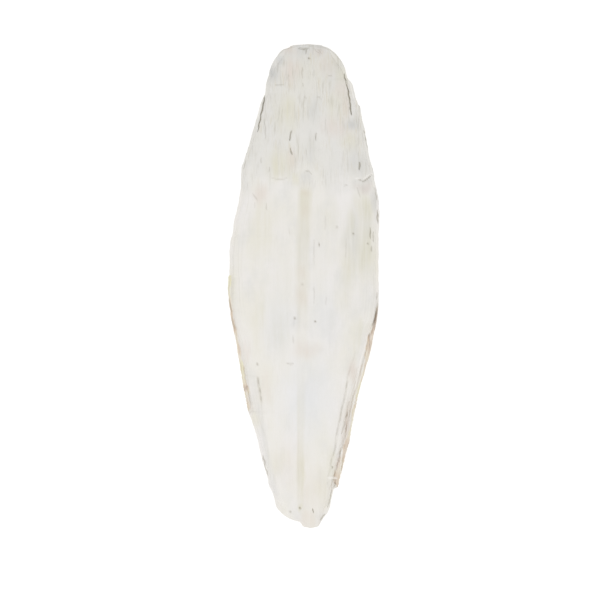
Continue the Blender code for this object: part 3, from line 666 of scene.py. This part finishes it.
    def surface_grain(self, across, along, height, dome, front, wall):
        """Broad waves, short lengthwise streaks and the stepped edges of the thin layers."""
        grain = dome * noise_field(across, along, BELLY_WAVES)
        rough = smooth_step(*ROUGH_RANGE, noise_field(across, along, ROUGH_AREAS))
        rough *= ROUGH_BEHIND + (1.0 - ROUGH_BEHIND) * front
        streaks = noise_field(across, along, STREAK_RELIEF) + noise_field(across, along, FINE_STREAK_RELIEF)
        grain += (STREAK_LEAST + STREAK_MORE * rough) * streaks * np.minimum(STREAK_DOME * dome, 1.0)
        scratches = ridge(noise_field(across, along, SCRATCHES), SCRATCH_WIDTH)
        grain -= SCRATCH_DEPTH * rough * scratches * np.minimum(SCRATCH_DOME * dome, 1.0)
        steps = height / WALL_STEP_PITCH + noise_field(across, along, WALL_WANDER)
        return grain + WALL_STEP_HEIGHT * wall * np.sin(2.0 * math.pi * steps)

    def breaks(self, across, along):
        """Depth and painted shade of slits and pits, depth of hollows, and the pale lines of fresh breaks
        and painted highlights.
        """
        wandering = across + noise_field(across, along, SLIT_WANDER)
        swelling = SLIT_SWELL + noise_field(across, along, SLIT_SWELLING)
        # Slits and pits get depth and painted shade; hollows get depth only
        deep, crevice_shade, pale = np.zeros((3, *across.shape))
        for path, half_width, depth, dark in SLITS:
            in_slit = slit(wandering, along, path, half_width * swelling)
            deep += depth * in_slit
            crevice_shade = np.maximum(crevice_shade, dark * in_slit)
        # Pale lines: partly fresh breaks, partly painted highlights
        for path, half_width, strength in PALE_LINES_AND_HIGHLIGHTS:
            pale = np.maximum(pale, strength * slit(wandering, along, path, half_width * swelling))
        for place_x, place_y, radius, depth, dark in PITS:
            spread = PIT_SPREAD * radius
            in_pit = spot(across, along, place_x, place_y, spread, spread)
            deep += depth * in_pit
            crevice_shade = np.maximum(crevice_shade, dark * in_pit)
        for place_x, place_y, half_x, half_y, depth in HOLLOWS:
            deep += depth * spot(across, along, place_x, place_y, half_x, half_y) * self.end_share
        return deep, crevice_shade, pale

    def edge_layers(self, inward, across, along):
        """Thin layers that crop out along the tail's edges: their waves, and where they are."""
        lines = np.sin(2.0 * math.pi * (inward / LAYER_PITCH + noise_field(across, along, LAYER_WANDER)))
        strips = LAYER_STRIPS[self.side]
        reach = sum(width * window(low, high, fade, along) for width, low, high, fade in strips)
        reach = np.maximum(reach, THINNEST_STRIP)
        strip = smooth_step(reach, LAYER_FULL_SHARE * reach, inward)
        return lines, strip * smooth_step(*LAYER_WIDTH_RANGE, reach)

    def horn(self, inward, across, along):
        """Where the rim is horn, and its tone from pale to dark."""
        slanting = along - HORN_SLANT * inward + noise_field(across, along, HORN_WANDER)
        tone = curve(HORN, self.side + 2, slanting) + noise_field(across, along, HORN_TONES)
        width = curve(HORN, self.side, slanting) * self.shrink
        ragged = noise_along(self.along, HORN_RAGGED, self.side) + noise_field(across, along, HORN_NICKS)
        horn = smooth_step(HORN_EDGE, -HORN_EDGE, inward - width * (1.0 + ragged))
        horn *= HORN_COVER + noise_field(across, along, HORN_THINNING)
        return np.clip(horn, 0.0, 1.0) * smooth_step(*HORN_WIDTH_RANGE, width), tone

    def rim(self, top_height, bottom_height):
        """Rounded outer edge of the rim, between its upper and its lower face."""
        angles = math.pi * np.arange(1, RIM_COLUMNS) / RIM_COLUMNS
        distance = self.half - self.rim_edge + self.rim_edge * np.sin(angles)
        share = 0.5 - 0.5 * np.cos(angles)
        return self.across(distance), top_height + (bottom_height - top_height) * share

    def back(self):
        """Places, heights and masks of the underside, from the rim in to the middle line."""
        share = 1.0 - np.arange(BACK_COLUMNS + 1) / BACK_COLUMNS
        across = self.across(share * (self.half - self.rim_edge))
        along = np.broadcast_to(self.along, across.shape)
        height = self.keel + (self.margin - 0.5 * RIM_THICKNESS - self.keel) * share ** BACK_POWER
        flank = np.exp(-((share - BACK_FLANK_PLACE) / BACK_FLANK_WIDTH) ** 2)
        height += BACK_FLANK_HOLLOW * flank * 2.0 * self.half / WIDTH
        inward = smooth_step(*BACK_EDGE_SHARES, share) + 0.0 * across
        height += inward * noise_field(across, along, BACK_LUMPS)
        granules = noise_field(across, along, BACK_GRANULES)
        height -= GRANULE_HEIGHT * inward * granules
        arcs = along + ARC_SWEEP * share ** 2 + noise_field(across, along, ARC_WANDER)
        waves = np.sin(2.0 * math.pi * arcs / ARC_PITCH)
        waves *= smooth_step(*ARC_RANGE, noise_field(across, along, ARC_AREAS))
        height += ARC_HEIGHT * inward * waves
        side_rib = np.exp(-((share - SIDE_RIB_PLACE) / RIB_WIDTH) ** 2)
        ribs = np.exp(-(share / RIB_WIDTH) ** 2) + SIDE_RIB_STRENGTH * side_rib
        height = self.rounded(height - RIB_HEIGHT * ribs - RESTING_FLAT_DEPTH)

        dips = DIP_LEVEL - DIP_GRANULES * granules + DIP_ARCS * waves - DIP_RIBS * ribs
        tailward = BACK_HORN_LEAST + (1.0 - BACK_HORN_LEAST) * smooth_step(*BACK_HORN_RUN, along)
        horn = smooth_step(*BACK_HORN_SHARES, share + noise_field(across, along, BACK_HORN_WANDER))
        masks = {
            "back": inward,
            "dip": inward * np.clip(dips, 0.0, 1.0),
            "horn": horn * tailward * smooth_step(*BACK_HORN_END, share),
            "horn_tone": BACK_HORN_TONE + noise_field(across, along, BACK_HORN_TONES),
        }
        return across, np.maximum(height, 0.0), masks

    def surface(self):
        """All columns of this side, from the belly's middle round the rim to the back's."""
        belly_across, belly_height, belly_masks = self.belly()
        back_across, back_height, back_masks = self.back()
        rim_across, rim_height = self.rim(belly_height[:, -1:], back_height[:, :1])
        across = np.hstack((belly_across, rim_across, back_across))
        height = np.hstack((belly_height, rim_height, back_height))
        masks = {}
        fading = np.linspace(1.0, 0.0, RIM_COLUMNS + 1)[1:-1] ** 2
        for name, belly_mask in belly_masks.items():
            rim_mask = np.repeat(belly_mask[:, -1:], RIM_COLUMNS - 1, axis=1)
            if name in ("crevice_shade", "lines", "pale"):
                rim_mask = rim_mask * fading
            if name == "horn_tone":
                rim_mask = RIM_TONE + (rim_mask - RIM_TONE) * (0.5 + 0.5 * fading)
            masks[name] = np.hstack((belly_mask, rim_mask, back_masks.get(name, 0.0 * back_across)))
        return across, height, masks


def join_sides(right, left):
    """Closed rings from two sides that share the middle of the belly and of the back."""
    for shared in (0, -1):
        right[:, shared] = 0.5 * (right[:, shared] + left[:, shared])
    return np.hstack((right, left[:, -2:0:-1]))


def bone_points():
    """Points in millimetres, ring by ring with the ends last, their masks, and columns a ring."""
    along = ring_places()
    right_across, right_height, right_masks = Half(along, RIGHT).surface()
    left_across, left_height, left_masks = Half(along, LEFT).surface()
    across = join_sides(right_across, left_across)
    height = join_sides(right_height, left_height)
    length = np.broadcast_to(along[:, None], across.shape)
    grid = np.stack((across, length, height), axis=-1)
    ends = [grid[ring].mean(axis=0) for ring in (0, RINGS)]
    points = np.vstack((grid[1:RINGS].reshape(-1, 3), ends))
    masks = {}
    for name, right_mask in right_masks.items():
        mask = join_sides(right_mask, left_masks[name])
        masks[name] = np.concatenate((mask[1:RINGS].ravel(), [mask[0].mean(), mask[RINGS].mean()]))
    return points, masks, across.shape[1]


def fit_to_box(points, low, high):
    """The points moved and stretched a little so that they fill the CAD box exactly."""
    least, most = points.min(axis=0), points.max(axis=0)
    return np.array(low) + (points - least) * (np.array(high) - np.array(low)) / (most - least)


def ring_faces(columns):
    """Four-sided faces between rings, and a fan of triangles at each end."""
    rings = RINGS - 1
    front, tail = rings * columns, rings * columns + 1
    faces = []
    for column in range(columns):
        after = (column + 1) % columns
        faces.append((front, column, after))
        for ring in range(rings - 1):
            here, below = ring * columns, (ring + 1) * columns
            faces.append((here + column, below + column, below + after, here + after))
        last = (rings - 1) * columns
        faces.append((last + column, tail, last + after))
    return faces


# Sockets of the mix node in its colour mode
MIX_SHARE = 0
MIX_FIRST = 6
MIX_SECOND = 7
MIX_COLOUR = 2


class Graph:
    """Short calls for building one material's nodes."""

    def __init__(self, name):
        self.material = bpy.data.materials.new(name)
        self.material.use_nodes = True
        self.tree = self.material.node_tree
        self.shader = self.tree.nodes["Principled BSDF"]

    def feed(self, node, inputs):
        """Link some of a node's inputs, or set them to plain values."""
        for name, value in inputs.items():
            if isinstance(value, bpy.types.NodeSocket):
                self.tree.links.new(value, node.inputs[name])
            else:
                node.inputs[name].default_value = value

    def node(self, kind, inputs):
        """A new node with some of its inputs fed."""
        node = self.tree.nodes.new("ShaderNode" + kind)
        self.feed(node, inputs)
        return node

    def mask(self, name):
        """One of the mesh's own masks."""
        node = self.node("Attribute", {})
        node.attribute_name = name
        return node.outputs["Fac"]

    def noise(self, stretch, detail, roughness):
        """Noise from 0 to 1 on object coordinates, with so many features a metre along each axis."""
        place = self.node("TexCoord", {}).outputs["Object"]
        place = self.node("Mapping", {"Vector": place, "Scale": stretch}).outputs["Vector"]
        inputs = {"Vector": place, "Scale": 1.0, "Detail": detail, "Roughness": roughness}
        return self.node("TexNoise", inputs).outputs["Fac"]

    def math(self, operation, first, second):
        """One sum on two values."""
        node = self.node("Math", {0: first, 1: second})
        node.operation = operation
        return node.outputs["Value"]

    def remap(self, value, low, high, to_low, to_high):
        """A value's range stretched to another range, and held inside it."""
        inputs = {"Value": value, "From Min": low, "From Max": high, "To Min": to_low, "To Max": to_high}
        return self.node("MapRange", inputs).outputs["Result"]

    def mix(self, share, first, second):
        """A blend of two colours."""
        node = self.node("Mix", {})
        node.data_type = "RGBA"
        self.feed(node, {MIX_SHARE: share, MIX_FIRST: first, MIX_SECOND: second})
        return node.outputs[MIX_COLOUR]

    def ramp(self, value, stops):
        """A colour from a row of stops."""
        node = self.node("ValToRGB", {"Fac": value})
        elements = node.color_ramp.elements
        while len(elements) < len(stops):
            elements.new(0.5)
        for element, (place, colour) in zip(elements, stops):
            element.position = place
            element.color = colour
        return node.outputs["Color"]


def srgb(red, green, blue):
    """The linear colour that shaders use, from 0 to 255 screen values that are not near black."""
    shares = (value / 255.0 for value in (red, green, blue))
    return (*(((share + 0.055) / 1.055) ** 2.4 for share in shares), 1.0)


# Colours of the surface
CHALK_WHITE = srgb(237, 234, 231)
CHALK_CREAM = srgb(233, 230, 221)
CHALK_GREY = srgb(223, 222, 218)
STREAK_GREY = srgb(203, 199, 188)
STREAK_TAN = srgb(217, 211, 196)
PATCH_YELLOW = srgb(222, 218, 196)
PATCH_PINK = srgb(225, 213, 204)
PATCH_GREY = srgb(206, 206, 204)
PATCH_COOL = srgb(226, 228, 233)
# Pale of fresh breaks, also used for painted highlights
PALE_BREAK_AND_HIGHLIGHT = srgb(248, 245, 240)
FURROW_TAN = srgb(220, 216, 199)
LINE_BROWN = srgb(196, 180, 160)
# Painted shade in slits, gaps, grooves and pits
CREVICE_SHADE_OLIVE = srgb(136, 128, 102)
BACK_BEIGE = srgb(232, 218, 200)
BACK_PALE = srgb(240, 232, 220)
BACK_TAN = srgb(214, 194, 170)
HORN_PALE = srgb(232, 228, 198)
HORN_TAN = srgb(231, 222, 204)
HORN_PEACH = srgb(222, 205, 186)
HORN_BROWN = srgb(186, 168, 153)
HORN_GREY = srgb(158, 152, 145)
HORN_STOPS = ((0.0, HORN_PALE), (0.3, HORN_TAN), (0.55, HORN_PEACH), (0.8, HORN_BROWN), (1.0, HORN_GREY))

# Noise of the colours: features a metre along X, Y and Z, then detail and roughness
CLOUDS = ((110, 55, 110), 4, 0.6)
ASH = ((150, 90, 40), 3, 0.6)
PATCH_BREAKS = ((650, 45, 200), 3, 0.6)
STREAKS = ((1500, 140, 300), 3, 0.6)
STREAK_AREAS = ((260, 110, 260), 2, 0.5)
LAYERS = ((200, 60, 2200), 2, 0.5)
BLOTCHES = ((700, 500, 700), 3, 0.6)
MOTTLE = ((900, 300, 900), 4, 0.65)
POWDER = ((3500, 2200, 3500), 4, 0.7)

# Ranges of a noise or mask: low, high, share or tone at low, share or tone at high
CLOUD_SHARE = (0.35, 0.68, 0.0, 1.0)
ASH_SHARE = (0.5, 0.75, 0.0, 0.6)
FRONT_ASH_SHARE = (0.0, 1.0, 0.0, 0.55)
PATCH_SHARE = (0.3, 0.62, 0.3, 1.0)
FURROW_SHARE = (0.3, 0.62, 0.5, 0.9)
STREAK_AREA_SHARE = (0.38, 0.6, 0.0, 1.0)
FRONT_STREAK_SHARE = (0.0, 1.0, 0.08, 0.7)
DARK_STREAK_SHARE = (0.5, 0.66, 0.0, 1.0)
TAN_STREAK_SHARE = (0.46, 0.32, 0.0, 1.0)
WALL_LAYER_SHARE = (0.5, 0.7, 0.0, 0.2)
BLOTCH_SHARE = (0.3, 0.7, 0.0, 1.0)
MOTTLE_TONE = (0.3, 0.7, -0.15, 0.15)
LAYER_TONE = (0.35, 0.65, -0.15, 0.15)
CREVICE_SHADE_SHARE = (0.0, 1.0, 0.0, 0.85)
LINE_SHARE = 0.33

# Chalk is matt, horn a little glossy
ROUGHNESS_BY_HORN = (0.0, 1.0, 0.92, 0.5)
SPECULAR = 0.3
BUMP_STRENGTH = 0.2
BUMP_DEPTH = 0.1 * MM
LAYER_BUMP = 1.5


def chalk_colour(graph, streaks, layers):
    """White, cream and ashy chalk with soft patches, the tinted furrow and lengthwise streaks."""
    front = graph.mask("front")
    chalk = graph.mix(graph.remap(graph.noise(*CLOUDS), *CLOUD_SHARE), CHALK_WHITE, CHALK_CREAM)
    chalk = graph.mix(graph.remap(graph.noise(*ASH), *ASH_SHARE), chalk, CHALK_GREY)
    chalk = graph.mix(graph.remap(front, *FRONT_ASH_SHARE), chalk, CHALK_GREY)

    breaks = graph.noise(*PATCH_BREAKS)
    patch_share = graph.remap(breaks, *PATCH_SHARE)
    chalk = graph.mix(graph.mask("cool"), chalk, PATCH_COOL)
    for name, colour in (("yellow", PATCH_YELLOW), ("pink", PATCH_PINK), ("grey", PATCH_GREY)):
        chalk = graph.mix(graph.math("MULTIPLY", graph.mask(name), patch_share), chalk, colour)
    furrow = graph.math("MULTIPLY", graph.mask("furrow"), graph.remap(breaks, *FURROW_SHARE))
    chalk = graph.mix(furrow, chalk, FURROW_TAN)

    areas = graph.remap(graph.noise(*STREAK_AREAS), *STREAK_AREA_SHARE)
    streak_share = graph.math("MULTIPLY", graph.remap(front, *FRONT_STREAK_SHARE), areas)
    for reach, colour in ((DARK_STREAK_SHARE, STREAK_GREY), (TAN_STREAK_SHARE, STREAK_TAN)):
        chalk = graph.mix(graph.math("MULTIPLY", streak_share, graph.remap(streaks, *reach)), chalk, colour)
    layer_share = graph.math("MULTIPLY", graph.mask("wall"), graph.remap(layers, *WALL_LAYER_SHARE))
    return graph.mix(layer_share, chalk, STREAK_GREY)


def back_colour(graph):
    """Blotched beige of the back, darker in its dips."""
    blotches = graph.remap(graph.noise(*BLOTCHES), *BLOTCH_SHARE)
    back = graph.mix(blotches, BACK_BEIGE, BACK_PALE)
    return graph.mix(graph.mask("dip"), back, BACK_TAN)


def horn_colour(graph, layers):
    """Mottled and layered horn, from pale yellow over peach to brown and grey."""
    mottle = graph.remap(graph.noise(*MOTTLE), *MOTTLE_TONE)
    tone = graph.math("ADD", graph.mask("horn_tone"), mottle)
    tone = graph.math("ADD", tone, graph.remap(layers, *LAYER_TONE))
    return graph.ramp(tone, HORN_STOPS)


def bone_material():
    """Dry chalk with streaks, stains and pits, horn along the rim, and a grained beige back."""
    graph = Graph("bone_chalk")
    streaks = graph.noise(*STREAKS)
    layers = graph.noise(*LAYERS)
    colour = graph.mix(graph.mask("back"), chalk_colour(graph, streaks, layers), back_colour(graph))
    colour = graph.mix(graph.mask("horn"), colour, horn_colour(graph, layers))
    colour = graph.mix(graph.math("MULTIPLY", graph.mask("lines"), LINE_SHARE), colour, LINE_BROWN)
    # Pale fresh breaks, and painted highlights on step edges
    colour = graph.mix(graph.mask("pale"), colour, PALE_BREAK_AND_HIGHLIGHT)
    # Painted shade: slits, gaps, grooves and pits darkened toward olive
    colour = graph.mix(graph.remap(graph.mask("crevice_shade"), *CREVICE_SHADE_SHARE), colour, CREVICE_SHADE_OLIVE)

    wall_layers = graph.math("MULTIPLY", graph.mask("wall"), layers)
    relief = graph.math("ADD", graph.noise(*POWDER), graph.math("MULTIPLY", wall_layers, LAYER_BUMP))
    relief = graph.math("ADD", relief, graph.math("MULTIPLY", graph.mask("front"), streaks))
    bump = graph.node("Bump", {"Strength": BUMP_STRENGTH, "Distance": BUMP_DEPTH, "Height": relief})
    graph.feed(graph.shader, {
        "Base Color": colour,
        "Roughness": graph.remap(graph.mask("horn"), *ROUGHNESS_BY_HORN),
        "Specular IOR Level": SPECULAR,
        "Normal": bump.outputs["Normal"],
    })
    return graph.material


def add_object(name, data):
    """A new object in the scene."""
    added = bpy.data.objects.new(name, data)
    bpy.context.scene.collection.objects.link(added)
    return added


def make_bone():
    """The fine mesh that stands for the whole bone."""
    points, masks, columns = bone_points()
    points = fit_to_box(points, *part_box(NODE))
    data = bpy.data.meshes.new("bone")
    data.from_pydata(points.tolist(), [], ring_faces(columns))
    for name, values in masks.items():
        attribute = data.attributes.new(name, "FLOAT", "POINT")
        attribute.data.foreach_set("value", values.astype(np.float32))
    data.shade_smooth()
    data.materials.append(bone_material())
    bone = add_object("bone", data)
    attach(bone, "root")
    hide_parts(NODE)


# Framing: the photo's size, the pixel at the bone's origin, and the real size of one pixel
PHOTO_SIDE_PIXELS = 600.0
ORIGIN_PIXEL_ACROSS = 303.6
ORIGIN_PIXEL_DOWN = 286.0
PIXEL_SIZE = 0.33126 * MM
CAMERA_LENS = 200.0
SENSOR_WIDTH = 36.0
FOCUS_HEIGHT = 7 * MM


def make_camera():
    """A long lens looking straight down, with the blunt end at the top of the picture."""
    data = bpy.data.cameras.new("camera")
    data.lens = CAMERA_LENS
    data.sensor_width = SENSOR_WIDTH
    camera = add_object("camera", data)
    view_width = PHOTO_SIDE_PIXELS * PIXEL_SIZE
    camera.location = (
        (0.5 * PHOTO_SIDE_PIXELS - ORIGIN_PIXEL_ACROSS) * PIXEL_SIZE,
        (ORIGIN_PIXEL_DOWN - 0.5 * PHOTO_SIDE_PIXELS) * PIXEL_SIZE,
        FOCUS_HEIGHT + view_width * CAMERA_LENS / SENSOR_WIDTH,
    )
    bpy.context.scene.camera = camera


# Studio: a faintly glowing white floor, an even pale world and one large soft light
FLOOR_SIDE = 6.0
FLOOR_DROP = 0.00002
FLOOR_GREY = (0.35, 0.35, 0.35, 1.0)
FLOOR_GLOW = 0.75
WHITE = (1.0, 1.0, 1.0, 1.0)
WORLD_STRENGTH = 0.845
KEY_POWER = 2.6
KEY_SIZE = 0.7
KEY_PLACE = (-0.1, -0.5, 1.05)


def make_floor():
    """Plain white floor, lightly lit through so that it stays white round the bone."""
    graph = Graph("floor_white")
    graph.feed(graph.shader, {
        "Base Color": FLOOR_GREY, "Roughness": 1.0, "Specular IOR Level": 0.0,
        "Emission Color": WHITE, "Emission Strength": FLOOR_GLOW,
    })
    bpy.ops.mesh.primitive_plane_add(size=FLOOR_SIDE, location=(0.0, 0.0, -FLOOR_DROP))
    floor = bpy.context.object
    floor.name = "floor"
    floor.data.materials.append(graph.material)


def make_light():
    """One large soft light from the lower left, and an even pale world."""
    data = bpy.data.lights.new("key", "AREA")
    data.shape = "DISK"
    data.size = KEY_SIZE
    data.energy = KEY_POWER
    key = add_object("key", data)
    key.location = KEY_PLACE
    key.rotation_euler = (-Vector(KEY_PLACE)).to_track_quat("-Z", "Y").to_euler()
    world = bpy.data.worlds.new("studio")
    world.use_nodes = True
    background = world.node_tree.nodes["Background"]
    background.inputs["Color"].default_value = WHITE
    background.inputs["Strength"].default_value = WORLD_STRENGTH
    bpy.context.scene.world = world
    bpy.context.scene.view_settings.view_transform = "Standard"


make_camera()
make_light()
make_floor()
make_bone()
